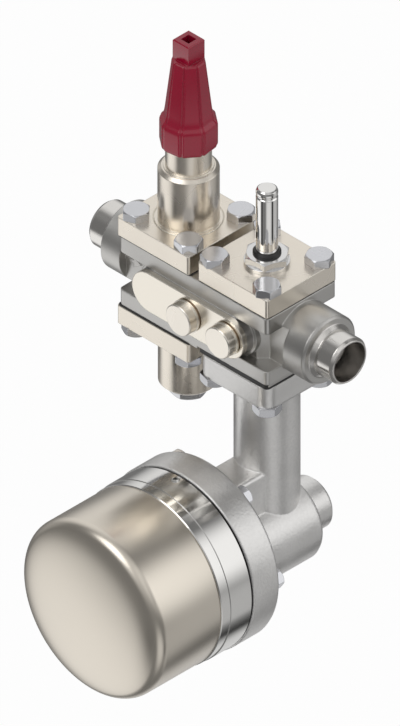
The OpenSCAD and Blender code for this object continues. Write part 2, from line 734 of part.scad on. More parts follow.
// The housing's outside: square top flange, column, box channel, round drain housing and flange
module housing_outside() {
    plate(2 * plate_half, 2 * plate_half, float_corner, float_bottom, float_flange);
    translate([0, 0, drain_z]) cylinder(h = float_bottom - drain_z + eps, r = column_r);
    rotate_extrude() polygon([
        [column_r - 1, float_bottom - 5], [column_r, float_bottom - 5], [column_r + 1.5, float_bottom - 1.5],
        [column_r + 5, float_bottom + eps], [column_r - 1, float_bottom + eps]]);
    translate([0, flange_back - eps, drain_z]) rotate([-90, 0, 0]) rotate_extrude() polygon([
        [0, 0], [drain_r, 0], [drain_r, rear_y - flange_back - 3],
        [drain_r - 1, rear_y - flange_back - 1], [drain_r - 3, rear_y - flange_back],
        [0, rear_y - flange_back]]);
    translate([-box_half, flange_back - eps, drain_z])
        cube([2 * box_half, -flange_back, box_top - 3 - drain_z]);
    translate([-box_half + 3, flange_back - eps, drain_z])
        cube([2 * box_half - 6, -flange_back, box_top - drain_z]);
    for (s = [-1, 1]) translate([s * (box_half - 3), 0, 0])
        along_y(flange_back - eps, 0, 3, box_top - 3);
    translate([0, -flange_face, pot_z]) rotate([-90, 0, 0]) rotate_extrude() polygon([
        [0, 0], [flange_r - 0.6, 0], [flange_r, 0.6], [flange_r, flange_thick - 2],
        [flange_r - 0.6, flange_thick - 0.6], [flange_r - 2, flange_thick], [0, flange_thick]]);
}

module housing_bores() {
    translate([feed_x, 0, feed_z]) cylinder(h = float_top - feed_z + eps, r = feed_r);
    translate([0, 0, float_top - 6]) cylinder(h = 6 + eps, r = seat_bore_r);
    translate([feed_x, 0, 0]) along_y(-flange_face - 1, 0, feed_r, feed_z);
    translate([feed_x, 0, feed_z]) sphere(feed_r);
    translate([return_x, 0, float_top + eps]) rotate([0, atan2(return_x - riser_x, 24) + 180, 0])
        cylinder(h = 26, r = return_r);
    translate([return_x, 0, float_top - 2]) cylinder(h = 3, r = return_r);
    translate([riser_x, 0, drain_z]) cylinder(h = float_top - 22 - drain_z, r = return_r);
    along_y(-flange_face - 1, chamber_end, chamber_r, drain_z);
    along_y(chamber_end - 1, outlet_front + 1, seat_r + run_gap, drain_z);
    along_y(outlet_front, rear_y + 1, outlet_r + run_gap, drain_z);
    at_bolts() translate([0, 0, float_bottom - 1]) cylinder(h = float_flange + 2, r = bolt_hole_r);
    at_bolts() translate([0, 0, float_bottom - bolt_head - 6]) cylinder(h = bolt_head + 6, r = bolt_flats / 2 / cos(30) + 1);
    at_pot_bolts() translate([0, 0, -1]) cylinder(h = flange_thick + 2, r = pot_bolt_r + free_gap);
}

// The six bolts between the round flange and the ring, standing on the flange's front face
module at_pot_bolts() {
    for (i = [0:5]) translate([0, -flange_face, pot_z]) rotate([-90, 0, 0])
        rotate(i * 60) translate([pot_bolt_circle, 0, 0]) children();
}

module float_housing() color([0.66, 0.66, 0.66]) at_outlet() difference() {
    housing_outside();
    housing_bores();
}

module float_bolts() color([0.74, 0.75, 0.79]) at_outlet() at_bolts()
    translate([0, 0, float_bottom]) rotate([180, 0, 0])
        hex_bolt(bolt_flats, bolt_head, bolt_r, float_flange + float_gasket_thick + bolt_grip - seat_step, 15);

module pot_ring() color([0.85, 0.84, 0.82]) at_outlet() difference() {
    translate([0, -flange_face, pot_z]) rotate([90, 0, 0]) rotate_extrude() polygon([
        [ring_bore_r, 0], [ring_r - seam_depth, 0], [ring_r - seam_depth, seam_width],
        [ring_r, seam_width], [ring_r, ring_length - 8], [ring_r - 0.5, ring_length - 7.6],
        [ring_r - 0.5, ring_length - 0.6], [ring_r - 1.1, ring_length], [ring_bore_r, ring_length]]);
    at_pot_bolts() translate([0, 0, -pot_bolt_reach - 2]) cylinder(h = pot_bolt_reach + 3, r = pot_bolt_r + run_gap);
    translate([0, -flange_face, pot_z]) rotate([90, 0, 0]) rotate_extrude()
        translate([ring_bore_r - 1, -1]) square([seal_groove_r - ring_bore_r + 3, 2 * seal_wire_r + 1]);
    translate([0, -flange_face - 6, pot_z + ring_r - 9]) cylinder(h = 20, r = 3 + run_gap);
}

module pot_bolts() color([0.74, 0.75, 0.79]) at_outlet() at_pot_bolts() translate([0, 0, flange_thick])
    hex_bolt(pot_bolt_flats, pot_bolt_head, pot_bolt_r, flange_thick + pot_bolt_reach, 0);

module pot_seal() color([0.07, 0.07, 0.07]) at_outlet()
    translate([0, -flange_face - seal_wire_r, pot_z]) rotate([90, 0, 0])
        rotate_extrude() translate([seal_groove_r, 0]) circle(seal_wire_r, $fn = 24);

module ring_screw() color([0.3, 0.3, 0.3]) at_outlet() difference() {
    translate([0, -flange_face - 6, pot_z + ring_r - 9]) cylinder(h = 6, r = 3);
    translate([0, -flange_face - 6, pot_z + ring_r - 6]) cylinder(h = 8, r = 1.7, $fn = 6);
}

module float_pot() color([0.83, 0.8, 0.75]) at_outlet() {
    inner_edge = pot_edge - pot_wall;
    translate([0, ring_front, pot_z]) rotate([90, 0, 0]) rotate_extrude() difference() {
        union() {
            square([pot_r, pot_length - pot_edge]);
            square([pot_r - pot_edge, pot_length]);
            translate([pot_r - pot_edge, pot_length - pot_edge]) circle(pot_edge);
        }
        translate([-1, -1]) square([pot_r - pot_wall + 1, pot_length - pot_edge + 1]);
        translate([-1, -1]) square([pot_r - pot_edge + 1, pot_length - pot_wall + 1]);
        translate([pot_r - pot_edge, pot_length - pot_edge]) circle(inner_edge);
    }
}

module float_bracket() color([0.72, 0.72, 0.7]) at_outlet() difference() {
    ear_length = bracket_y + bracket_thick / 2 - pivot_y + 2;
    union() {
        along_y(bracket_y, bracket_y + bracket_thick, chamber_r - run_gap, drain_z);
        for (s = [-1, 1]) translate([s > 0 ? hub_half + free_gap : -hub_half - free_gap - ear_thick, pivot_y, 0]) {
            translate([0, 0, drain_z - ear_r]) cube([ear_thick, ear_length, pivot_z - drain_z + ear_r]);
            translate([0, 0, pivot_z]) rotate([0, 90, 0]) cylinder(h = ear_thick, r = ear_r);
            translate([0, 0, pivot_z]) cube([ear_thick, ear_length, ear_r]);
        }
    }
    along_y(2 * pivot_y, 0, drain_stem_r + run_gap, drain_z);
    translate([0, 0, drain_z]) for (a = [45, 135, 225, 315]) rotate([0, a, 0])
        translate([slot_circle, 0, 0]) along_y(pivot_y, 0, slot_r);
    translate([0, pivot_y, pivot_z]) rotate([0, 90, 0])
        cylinder(h = 4 * (hub_half + ear_thick), r = pin_r + run_gap, center = true);
}

module pivot_pin() color([0.75, 0.75, 0.77]) at_outlet() translate([0, pivot_y, pivot_z]) rotate([0, 90, 0]) {
    cylinder(h = 2 * (hub_half + free_gap + ear_thick) + 2, r = pin_r, center = true);
}

// Lever: hub on the pivot pin, fork down to the drain valve, and the arm out to the float
module float_arm() color([0.74, 0.74, 0.76]) at_outlet() translate([0, pivot_y, pivot_z]) difference() {
    union() {
        rotate([0, 90, 0]) cylinder(h = 2 * hub_half, r = 5, center = true);
        for (s = [-1, 1]) {
            x0 = s > 0 ? groove_half + free_gap : -hub_half;
            wide = hub_half - groove_half - free_gap;
            translate([x0, -fork_thick / 2, -crank]) cube([wide, fork_thick, crank]);
            translate([x0, 0, -crank]) rotate([0, 90, 0]) cylinder(h = wide, r = finger_r);
        }
        rotate([90 + ball_angle, 0, 0]) cylinder(h = ball_reach - ball_r + 4, r = arm_r);
    }
    rotate([0, 90, 0]) cylinder(h = 4 * hub_half, r = pin_r + run_gap, center = true);
}

module float_ball() color([0.8, 0.8, 0.8]) at_outlet()
    translate([0, pivot_y, pivot_z]) rotate([90 + ball_angle, 0, 0]) translate([0, 0, ball_reach]) {
        rotate_extrude() difference() {
            union() {
                circle(ball_r);
                translate([0, -ball_r - ball_neck_out]) square([ball_neck_r, ball_neck]);
            }
            difference() {
                circle(ball_r - ball_wall);
                translate([0, -ball_r - ball_neck_out]) square([ball_neck_r, ball_neck]);
            }
            translate([0, -ball_r - ball_neck]) square([arm_r + run_gap, 2 * ball_neck + ball_neck / 3]);
            translate([-2 * ball_r, -2 * ball_r]) square([2 * ball_r, 4 * ball_r]);
        }
    }

module drain_seat() color([0.78, 0.68, 0.45]) at_outlet() difference() {
    union() {
        along_y(chamber_end, outlet_front, seat_r, drain_z);
        along_y(drain_seat_face, chamber_end + eps, seat_r - 4, drain_z);
    }
    along_y(drain_seat_face - 1, outlet_front + 1, 3, drain_z);
}

module drain_valve() color([0.7, 0.7, 0.72]) at_outlet() {
    along_y(pivot_y - groove_half - 3, pivot_y - groove_half, drain_disc_r, drain_z);
    along_y(pivot_y - groove_half - eps, pivot_y + groove_half + eps, groove_half, drain_z);
    along_y(pivot_y + groove_half, pivot_y + groove_half + 2, drain_disc_r, drain_z);
    along_y(pivot_y + groove_half, drain_seat_face - 3, drain_stem_r, drain_z);
    along_y(drain_seat_face - 3, drain_seat_face, drain_disc_r - 1, drain_z);
}

module rear_plug() color([0.7, 0.7, 0.7]) at_outlet() difference() {
    union() {
        translate([0, rear_y + rear_washer_thick, drain_z]) rotate([-90, 0, 0]) rotate_extrude() polygon([
            [0, 0], [rear_plug_r, 0], [rear_plug_r, rear_plug_length - 2],
            [rear_plug_r - 2, rear_plug_length], [0, rear_plug_length]]);
        along_y(rear_y - 14, rear_y + rear_washer_thick + eps, outlet_r, drain_z);
    }
    along_y(rear_y - 15, rear_y, outlet_r - 4, drain_z);
    translate([0, rear_y + rear_plug_length - 5, drain_z]) rotate([-90, 0, 0]) cylinder(h = 10, r = 8, $fn = 6);
}

module rear_washer() color([0.3, 0.3, 0.3]) at_outlet() translate([0, rear_y, drain_z])
    rotate([-90, 0, 0]) tube(0, rear_washer_thick, rear_plug_r - 1, outlet_r + run_gap);

valve_body();
port_plugs();
port_washers();
stop_gasket();
stop_seat();
stop_cover();
stop_cover_bolts();
stop_disc();
stop_disc_seal();
spindle();
spindle_packing();
gland_nut();
cap_gasket();
seal_cap();
strainer_gasket();
strainer_cover();
strainer_bolts();
strainer_screen();
strainer_plug();
strainer_plug_washer();
solenoid_gasket();
solenoid_seat();
solenoid_cover();
solenoid_bolts();
armature_tube();
tube_nut();
tube_bush();
armature();
armature_seal();
armature_spring();
piston();
piston_seal();
piston_spring();
float_gasket();
float_housing();
float_bolts();
pot_ring();
pot_bolts();
pot_seal();
ring_screw();
float_pot();
float_bracket();
pivot_pin();
float_arm();
float_ball();
drain_seat();
drain_valve();
rear_plug();
rear_washer();
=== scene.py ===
import math

import bmesh
import bpy
import numpy as np
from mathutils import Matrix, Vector


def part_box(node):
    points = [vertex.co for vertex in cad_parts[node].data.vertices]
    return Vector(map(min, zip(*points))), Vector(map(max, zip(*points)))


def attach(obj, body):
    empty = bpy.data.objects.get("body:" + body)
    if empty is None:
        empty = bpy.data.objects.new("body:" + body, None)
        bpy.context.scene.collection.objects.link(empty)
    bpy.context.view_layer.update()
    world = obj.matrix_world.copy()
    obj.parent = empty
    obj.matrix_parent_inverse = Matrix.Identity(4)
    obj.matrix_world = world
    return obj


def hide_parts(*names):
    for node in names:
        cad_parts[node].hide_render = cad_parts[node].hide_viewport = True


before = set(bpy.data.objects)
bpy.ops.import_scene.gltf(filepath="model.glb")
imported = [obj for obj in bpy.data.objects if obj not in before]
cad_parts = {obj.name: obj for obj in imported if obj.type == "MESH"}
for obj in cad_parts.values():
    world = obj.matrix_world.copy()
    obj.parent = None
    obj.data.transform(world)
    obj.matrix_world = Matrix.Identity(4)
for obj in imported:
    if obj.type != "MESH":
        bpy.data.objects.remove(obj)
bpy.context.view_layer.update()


# Cast valve body
# One steel casting with milled plates, a milled port pad and turned weld ends.
# The skin is blasted and satin grey, and the milled and turned faces are brighter and warmer.
MM = 0.001
PAD_FACE_Y = -33 * MM
BORE_R = 14.7 * MM
WELD_END_LENGTH = 18.4 * MM
body_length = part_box("valve_body")[1].x

# The tone of a finish drifts over about 50 mm, and its grain is far finer. An edge is lighter, partly as
# wear and partly as a painted highlight, where the rounded normal leans away from the flat one, from
# EDGE_STARTS to EDGE_FULL in their cosine.
TONE_SCALE = 22
TONE_DETAIL = 3
TONE_BAND = (0.35, 0.65)
GLOSS_BAND = (0.3, 0.7)
GRAIN_DETAIL = 2
GRAIN_BAND = (0.3, 0.7)
GRAIN_SHADE = 0.35
EDGE_SAMPLES = 6
EDGE_STARTS = 0.99
EDGE_FULL = 0.87
EDGE_SHARE = 0.7
EDGE_GAIN = 1.2
EDGE_LIFT = 0.05
GLOSSIEST = 0.02


def link(tree, start, end):
    """Joins an output socket to an input socket."""
    tree.links.new(start, end)


def value_node(tree, operation, first, second=0):
    """A Math node whose inputs are sockets or plain numbers. A root or a cosine has no second one."""
    node = tree.nodes.new("ShaderNodeMath")
    node.operation = operation
    for socket, given in zip(node.inputs, (first, second)):
        if isinstance(given, (int, float)):
            socket.default_value = given
        else:
            link(tree, given, socket)
    return node.outputs[0]


def distance_node(tree, first, second):
    """How far a point is from an axis: the root of the sum of the squares of its two offsets."""
    squares = [value_node(tree, "MULTIPLY", offset, offset) for offset in (first, second)]
    return value_node(tree, "SQRT", value_node(tree, "ADD", *squares))


def colour_mix(tree, factor, first, second):
    """Mixes two colours, each a socket or three numbers, by a factor socket."""
    node = tree.nodes.new("ShaderNodeMix")
    node.data_type = "RGBA"
    link(tree, factor, node.inputs[0])
    for socket, given in zip(node.inputs[6:8], (first, second)):
        if isinstance(given, tuple):
            socket.default_value = (*given, 1)
        else:
            link(tree, given, socket)
    return node.outputs[2]


def spread(tree, socket, low, high, to_low, to_high):
    """Maps a range of values onto another, held at both ends."""
    node = tree.nodes.new("ShaderNodeMapRange")
    link(tree, socket, node.inputs[0])
    for place, number in zip(node.inputs[1:5], (low, high, to_low, to_high)):
        place.default_value = number
    return node.outputs[0]


def cloud(tree, place, scale, detail, stretch=(1, 1, 1)):
    """A noise pattern on object coordinates, stretched along the three axes, worth 0 to 1."""
    move = tree.nodes.new("ShaderNodeMapping")
    move.inputs["Scale"].default_value = stretch
    link(tree, place, move.inputs[0])
    noise = tree.nodes.new("ShaderNodeTexNoise")
    noise.inputs["Scale"].default_value = scale
    noise.inputs["Detail"].default_value = detail
    link(tree, move.outputs[0], noise.inputs["Vector"])
    return noise.outputs["Fac"]


def finish(name, colour, roughness, metallic=1.0, grain=(900, 0.02), tone=0.08, edge=0.0006,
           stretch=(1, 1, 1), gloss_spread=0.08):
    """A worked surface: its tone drifts slowly, a fine grain lies in its normals, and its edges are rounded
    and a little brighter, partly as wear and partly as a painted highlight. grain is the grain's scale and
    its depth in millimetres. edge is the radius of the rounding in metres, or 0 for none. stretch draws the
    grain out, as turning does."""
    material = bpy.data.materials.new(name)
    material.use_nodes = True
    tree = material.node_tree
    shader = tree.nodes["Principled BSDF"]
    shader.inputs["Metallic"].default_value = metallic
    place = tree.nodes.new("ShaderNodeTexCoord").outputs["Object"]
    drift = cloud(tree, place, TONE_SCALE, TONE_DETAIL)
    fine = cloud(tree, place, grain[0], GRAIN_DETAIL, stretch)
    darker = tuple(c * (1 - tone) for c in colour)
    lighter = tuple(min(1, c * (1 + tone)) for c in colour)
    base = colour_mix(tree, spread(tree, drift, *TONE_BAND, 0, 1), darker, lighter)
    base = colour_mix(tree, spread(tree, fine, *GRAIN_BAND, 0, GRAIN_SHADE), base, darker)
    bump = tree.nodes.new("ShaderNodeBump")
    bump.inputs["Strength"].default_value = 1
    bump.inputs["Distance"].default_value = grain[1] * MM
    link(tree, fine, bump.inputs["Height"])
    if edge:
        rounding = tree.nodes.new("ShaderNodeBevel")
        rounding.samples = EDGE_SAMPLES
        rounding.inputs["Radius"].default_value = edge
        flat = tree.nodes.new("ShaderNodeNewGeometry").outputs["Normal"]
        turn = tree.nodes.new("ShaderNodeVectorMath")
        turn.operation = "DOT_PRODUCT"
        link(tree, rounding.outputs[0], turn.inputs[0])
        link(tree, flat, turn.inputs[1])
        # Rounded edges get a lighter colour, partly as wear and partly as a painted highlight.
        worn_and_highlit = spread(tree, turn.outputs["Value"], EDGE_STARTS, EDGE_FULL, 0, EDGE_SHARE)
        base = colour_mix(tree, worn_and_highlit, base, tuple(min(1, c * EDGE_GAIN + EDGE_LIFT) for c in colour))
        link(tree, rounding.outputs[0], bump.inputs["Normal"])
    link(tree, base, shader.inputs["Base Color"])
    smoothest = max(GLOSSIEST, roughness - gloss_spread)
    gloss = spread(tree, drift, *GLOSS_BAND, smoothest, roughness + gloss_spread)
    link(tree, gloss, shader.inputs["Roughness"])
    link(tree, bump.outputs[0], shader.inputs["Normal"])
    return material


def dress(material, *nodes):
    """Gives CAD nodes a material in all their slots."""
    for node in nodes:
        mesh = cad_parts[node].data
        mesh.materials.clear()
        mesh.materials.append(material)


def change_where(material, colour, roughness, tests):
    """Changes colour and roughness where any test holds. A test is a name, an operation and a limit in
    metres, and the name is an axis, or R for the distance from the pipe axis."""
    tree = material.node_tree
    shader = tree.nodes["Principled BSDF"]
    split = tree.nodes.new("ShaderNodeSeparateXYZ")
    link(tree, tree.nodes.new("ShaderNodeTexCoord").outputs["Object"], split.inputs[0])
    places = {axis: split.outputs[axis] for axis in "XYZ"}
    places["R"] = distance_node(tree, places["Y"], places["Z"])
    found = None
    for name, operation, limit in tests:
        here = value_node(tree, operation, places[name], limit)
        found = here if found is None else value_node(tree, "MAXIMUM", found, here)
    tint = shader.inputs["Base Color"]
    link(tree, colour_mix(tree, found, tint.links[0].from_socket, colour), tint)
    gloss = shader.inputs["Roughness"]
    elsewhere = value_node(tree, "SUBTRACT", 1, found)
    kept = value_node(tree, "MULTIPLY", gloss.links[0].from_socket, elsewhere)
    link(tree, value_node(tree, "ADD", kept, value_node(tree, "MULTIPLY", found, roughness)), gloss)


cast_skin = finish("cast_skin", (0.56, 0.55, 0.53), 0.34, grain=(1300, 0.03), tone=0.10, edge=0.0012)
change_where(cast_skin, (0.86, 0.81, 0.72), 0.24, [("Y", "LESS_THAN", PAD_FACE_Y)])
change_where(cast_skin, (0.74, 0.72, 0.69), 0.11, [
    ("X", "LESS_THAN", WELD_END_LENGTH), ("X", "GREATER_THAN", body_length - WELD_END_LENGTH)])
change_where(cast_skin, (0.62, 0.60, 0.575), 0.28, [("R", "LESS_THAN", BORE_R)])
dress(cast_skin, "valve_body")


# Side port plugs
# Two turned plugs close the test ports in the pad, each on a soft copper washer.
# Their faces are milled flat and nickel plated.
plug_face = finish("plug_face", (0.86, 0.81, 0.73), 0.26, grain=(2500, 0.006), tone=0.04)
copper = finish("soft_copper", (0.56, 0.43, 0.34), 0.35, grain=(1500, 0.01))
dress(plug_face, "port_plugs")
dress(copper, "port_washers", "strainer_plug_washer")


# Module covers
# Square steel covers, milled on every side, broken at the edges and nickel plated to a warm satin.
# Each one clamps a thin dark gasket on the body.
NICKEL = (0.82, 0.76, 0.67)
cover_metal = finish("cover_metal", NICKEL, 0.27, grain=(1800, 0.008), tone=0.05, edge=0.0009)
gasket_fibre = finish("gasket_fibre", (0.035, 0.034, 0.034), 0.7, metallic=0.0, grain=(1500, 0.03),
                      tone=0.2)
dress(cover_metal, "stop_cover", "strainer_cover", "solenoid_cover")
dress(gasket_fibre, "stop_gasket", "strainer_gasket", "solenoid_gasket", "rear_washer")


# Cover and flange bolts
# Standard hexagon bolts, forged and zinc plated, with a washer chamfer on their upper corners.
# The plating has a faint blue cast.
zinc = finish("zinc", (0.66, 0.665, 0.69), 0.22, grain=(1600, 0.012), tone=0.06, edge=0.0007)
dress(zinc, "stop_cover_bolts", "strainer_bolts", "solenoid_bolts", "float_bolts", "pot_bolts",
      "strainer_plug")


# Working pieces inside the station
# Seats, discs, spindle, screen, armature, piston, springs and float lever are turned steel or brass, with
# plastic sealing rings and rubber packings, screwed or slid into their bores. Their finish is plain
# turning marks.
turned_steel = finish("turned_steel", (0.66, 0.66, 0.65), 0.3, grain=(400, 0.01), stretch=(1, 1, 12))
brass = finish("turned_brass", (0.80, 0.60, 0.30), 0.25, grain=(400, 0.008), stretch=(1, 1, 12))
white_plastic = finish("white_plastic", (0.86, 0.86, 0.82), 0.45, metallic=0.0, grain=(900, 0.01),
                       tone=0.03)
black_rubber = finish("black_rubber", (0.014, 0.014, 0.014), 0.42, metallic=0.0, grain=(900, 0.01),
                      tone=0.2)
dress(turned_steel, "stop_seat", "stop_disc", "spindle", "strainer_screen", "solenoid_seat", "armature",
      "armature_spring", "piston", "piston_spring", "ring_screw", "float_bracket", "pivot_pin",
      "float_arm", "drain_valve")
dress(brass, "gland_nut", "drain_seat")
dress(white_plastic, "stop_disc_seal", "armature_seal", "piston_seal")
dress(black_rubber, "spindle_packing", "cap_gasket", "tube_bush", "float_gasket", "pot_seal")


# Seal cap
# A dark red cap is screwed over the spindle. It has eight flat panels that narrow grooves part, and a
# square drive with a square socket on top. A smooth satin coat lets its panels pick up a pale sheen.

# The cap's lengths are in millimetres and its angles in degrees. Each outline is a list of radius and
# height above the cap's lower rim.
CAP_TURN = -37.5
CAP_STEPS = 512
PANEL_HALF = 22.5
PANEL_FLAT = 0.957
GROOVE_HALF = 3.8
GROOVE_DEPTH = 0.6
CAP_BORE = [(0, 60.6), (7, 60.6), (7, 31.6), (11, 27.6), (11, 11.6), (15.6, 11.6), (15.6, 0)]
CAP_SKIRT = [
    (17.2, 0), (18.2, 0.5), (18.9, 1.3), (19.3, 2.4), (19.4, 3.4), (19.4, 16.8), (19.3, 18.2), (19.0, 19.4),
    (18.4, 20.4), (17.6, 21.2), (17.0, 22.2), (16.5, 23.6), (16.1, 25.4), (15.7, 28.0)]
CAP_CONE_TOP = [(11.3, 65.6), (10.9, 66.6), (9.6, 67.6)]
DRIVE_SIDE = 14.7
DRIVE_FOOT = 67.9
DRIVE_FOOT_TOP = 68.6
DRIVE_FOOT_CUT = 0.6
DRIVE_CHAMFER = 0.7
DRIVE_CHAMFER_CUT = 1
SOCKET_SIDE = 7.3
SOCKET_DEPTH = 10

# Points nearer than MERGE_REACH are merged, and faces thinner than SLIVER_REACH are dropped, in metres.
# An edge that turns by more than CREASE_ANGLE stays sharp.
MERGE_REACH = 1e-6
SLIVER_REACH = 1e-7
CREASE_ANGLE = 32

cap_low, cap_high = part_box("seal_cap")
cap_axis = (cap_low + cap_high) / 2
cap_height = (cap_high.z - cap_low.z) / MM
cap_angles = np.linspace(0, 2 * math.pi, CAP_STEPS, endpoint=False)


def surface(name, points, faces):
    """Makes a mesh object of points and faces, merged, facing outwards and shaded smooth."""
    mesh = bpy.data.meshes.new(name)
    mesh.from_pydata(points.tolist(), [], faces.tolist())
    work = bmesh.new()
    work.from_mesh(mesh)
    bmesh.ops.remove_doubles(work, verts=work.verts, dist=MERGE_REACH)
    bmesh.ops.dissolve_degenerate(work, edges=work.edges, dist=SLIVER_REACH)
    bmesh.ops.recalc_face_normals(work, faces=work.faces)
    work.to_mesh(mesh)
    work.free()
    mesh.shade_smooth()
    mesh.set_sharp_from_angle(angle=math.radians(CREASE_ANGLE))
    piece = bpy.data.objects.new(name, mesh)
    bpy.context.scene.collection.objects.link(piece)
    return piece


def put_in_place(piece, material, body, slot, *nodes):
    """Gives a new piece its material and body, and lets it stand for CAD nodes. The slot is not used."""
    piece.data.materials.append(material)
    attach(piece, body)
    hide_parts(*nodes)


def round_ring(radius):
    """Radii of a circle at every step round the cap."""
    return np.full(CAP_STEPS, radius * MM)


def square_ring(side):
    """Radii of a square: half its side, over the larger of the step's cosine and sine."""
    return side * MM / 2 / np.maximum(np.abs(np.cos(cap_angles)), np.abs(np.sin(cap_angles)))


def panel_ring(radius):
    """Radii of eight flat panels: each flat is a fixed share of the radius over the cosine of the angle
    from its middle, held within the circle. A round groove is cut where two panels meet."""
    angle = np.degrees(cap_angles)
    off = np.abs((angle - CAP_TURN + PANEL_HALF) % (2 * PANEL_HALF) - PANEL_HALF)
    flat = PANEL_FLAT * (radius * MM) / np.cos(np.radians(off))
    groove = np.clip(1 - ((PANEL_HALF - off) / GROOVE_HALF) ** 2, 0, 1)
    return np.minimum(flat, radius * MM) - groove * GROOVE_DEPTH * MM


def lofted(name, rings, centre):
    """Joins rings into one closed skin. A point lies at its ring's radius from the centre, turned by its
    step's angle, and at its ring's height above the cap's lower rim."""
    radii = np.array([ring for ring, height in rings])
    heights = np.array([height for ring, height in rings])
    points = np.stack([centre.x + radii * np.cos(cap_angles), centre.y + radii * np.sin(cap_angles),
                       np.broadcast_to(cap_low.z + heights[:, None] * MM, radii.shape)], -1)
    step = np.arange(CAP_STEPS)
    after = (step + 1) % CAP_STEPS
    row = np.arange(len(rings) - 1)[:, None] * CAP_STEPS
    faces = np.stack([row + step, row + after, row + CAP_STEPS + after, row + CAP_STEPS + step], -1)
    return surface(name, points.reshape(-1, 3), faces.reshape(-1, 4))


cap_rings = [(round_ring(radius), height) for radius, height in CAP_BORE]
cap_rings += [(panel_ring(radius), height) for radius, height in CAP_SKIRT + CAP_CONE_TOP]
cap_rings += [
    (square_ring(DRIVE_SIDE - DRIVE_FOOT_CUT), DRIVE_FOOT),
    (square_ring(DRIVE_SIDE), DRIVE_FOOT_TOP),
    (square_ring(DRIVE_SIDE), cap_height - DRIVE_CHAMFER),
    (square_ring(DRIVE_SIDE - DRIVE_CHAMFER_CUT), cap_height),
    (square_ring(SOCKET_SIDE), cap_height),
    (square_ring(SOCKET_SIDE), cap_height - SOCKET_DEPTH),
    (round_ring(0), cap_height - SOCKET_DEPTH)]
cap_coat = finish("cap_coat", (0.29, 0.002, 0.024), 0.17, metallic=0.0, grain=(700, 0.006), tone=0.08)
cap_coat.node_tree.nodes["Principled BSDF"].inputs["Specular IOR Level"].default_value = 0.62
cap = lofted("panelled_cap", cap_rings, cap_axis)
put_in_place(cap, cap_coat, "cap", "cap_red", "seal_cap")


# Armature tube and its nut
# A polished stainless tube, closed at the top, that the coil slides over. A flanged nut holds it
# down, and a black ring round its foot keeps water from the coil.
mirror_steel = finish("mirror_steel", (0.84, 0.83, 0.81), 0.05, grain=(500, 0.002), stretch=(1, 1, 10),
                      tone=0.03, gloss_spread=0.02)
dress(mirror_steel, "armature_tube")
nut_steel = finish("nut_steel", (0.76, 0.755, 0.75), 0.16, grain=(1600, 0.006), tone=0.05)
dress(nut_steel, "tube_nut")


# Float housing
# A steel casting: a square flange, the column, a flat channel, the round drain housing and a big
# round flange. Its blasted skin is pale, matte and finely pitted.
housing_skin = finish("housing_skin", (0.80, 0.79, 0.775), 0.40, grain=(520, 0.16), tone=0.12, edge=0.002)
dress(housing_skin, "float_housing", "rear_plug")


# Float pot and ball
# The pot is deep drawn from steel sheet, ground to a fine satin and nickel plated. Its front is
# crowned and runs into the wall round a wide soft edge. The float inside is a hollow steel ball.

# The front falls by the crown with the square of the share of its radius, and by the shoulder with the
# eighth power, which keeps the middle calm and bends the rim. EDGE_REACH is the share of the edge's
# radius at which the crown's fall is read, and SWELL is how far its shading is domed.
POT_EDGE = 8 * MM
POT_CROWN = 1.2 * MM
POT_SHOULDER = 2.0 * MM
CROWN_POWER = 2
SHOULDER_POWER = 8
POT_WALL = 3.5 * MM
POT_STEPS = 256
CROWN_STEPS = 60
EDGE_STEPS = 20
EDGE_REACH = 0.75
RIM_CUT = [(0, 1.2 * MM), (0.2 * MM, 0.4 * MM), (0.6 * MM, 0)]
SWELL = 5 * MM


def arc(centre, radius, start, end, steps):
    """Points on a circle from one angle to another, in degrees."""
    angle = np.radians(np.linspace(start, end, steps))
    return np.stack([centre[0] + radius * np.cos(angle), centre[1] + radius * np.sin(angle)], 1)


def turned(name, profile, centre, direction):
    """A surface of revolution: a closed profile of radius and height is carried round the axis that
    starts at centre and points along direction. Points on the axis are merged to one."""
    axis = Vector(direction).normalized()
    side = axis.orthogonal().normalized()
    other = axis.cross(side)
    angle = np.linspace(0, 2 * math.pi, POT_STEPS, endpoint=False)
    ring = np.cos(angle)[:, None] * np.array(side) + np.sin(angle)[:, None] * np.array(other)
    points = (np.array(centre) + profile[None, :, 0, None] * ring[:, None, :]
              + profile[None, :, 1, None] * np.array(axis))
    count = len(profile)
    first = np.arange(POT_STEPS)[:, None] * count + np.arange(count - 1)[None, :]
    after = (first + count) % (POT_STEPS * count)
    faces = np.stack([first, after, after + 1, first + 1], -1).reshape(-1, 4)
    return surface(name, points.reshape(-1, 3), faces)


pot_low, pot_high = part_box("float_pot")
pot_axis = (pot_low + pot_high) / 2
pot_radius = (pot_high.x - pot_low.x) / 2
pot_length = pot_high.y - pot_low.y
crown_fall = CROWN_POWER * POT_CROWN + SHOULDER_POWER * POT_SHOULDER
crown_tilt = math.atan(crown_fall / (pot_radius - EDGE_REACH * POT_EDGE))
edge_centre = pot_radius - POT_EDGE
crown_end = edge_centre + POT_EDGE * math.sin(crown_tilt)
crown_r = np.linspace(0, crown_end, CROWN_STEPS)
crown_drop = (POT_CROWN * (crown_r / crown_end) ** CROWN_POWER
              + POT_SHOULDER * (crown_r / crown_end) ** SHOULDER_POWER)
edge_height = pot_length - crown_drop[-1] - POT_EDGE * math.cos(crown_tilt)
outside = np.concatenate([
    np.stack([crown_r, pot_length - crown_drop], 1),
    arc((edge_centre, edge_height), POT_EDGE, 90 - math.degrees(crown_tilt), 0, EDGE_STEPS)[1:],
    [(pot_radius - cut, height) for cut, height in RIM_CUT]])
inside = np.array([
    (pot_radius - POT_WALL, 0),
    (pot_radius - POT_WALL, pot_length - POT_EDGE - POT_WALL),
    (pot_radius - POT_EDGE, pot_length - POT_WALL - crown_drop[-1]),
    (0, pot_length - POT_WALL)])
pot_foot = (pot_axis.x, pot_high.y, pot_axis.z)
pot = turned("drawn_pot", np.concatenate([outside, inside]), pot_foot, (0, -1, 0))
pot_nickel = finish("pot_nickel", (0.74, 0.685, 0.60), 0.29, grain=(900, 0.002), tone=0.015, edge=0,
                    gloss_spread=0.01)


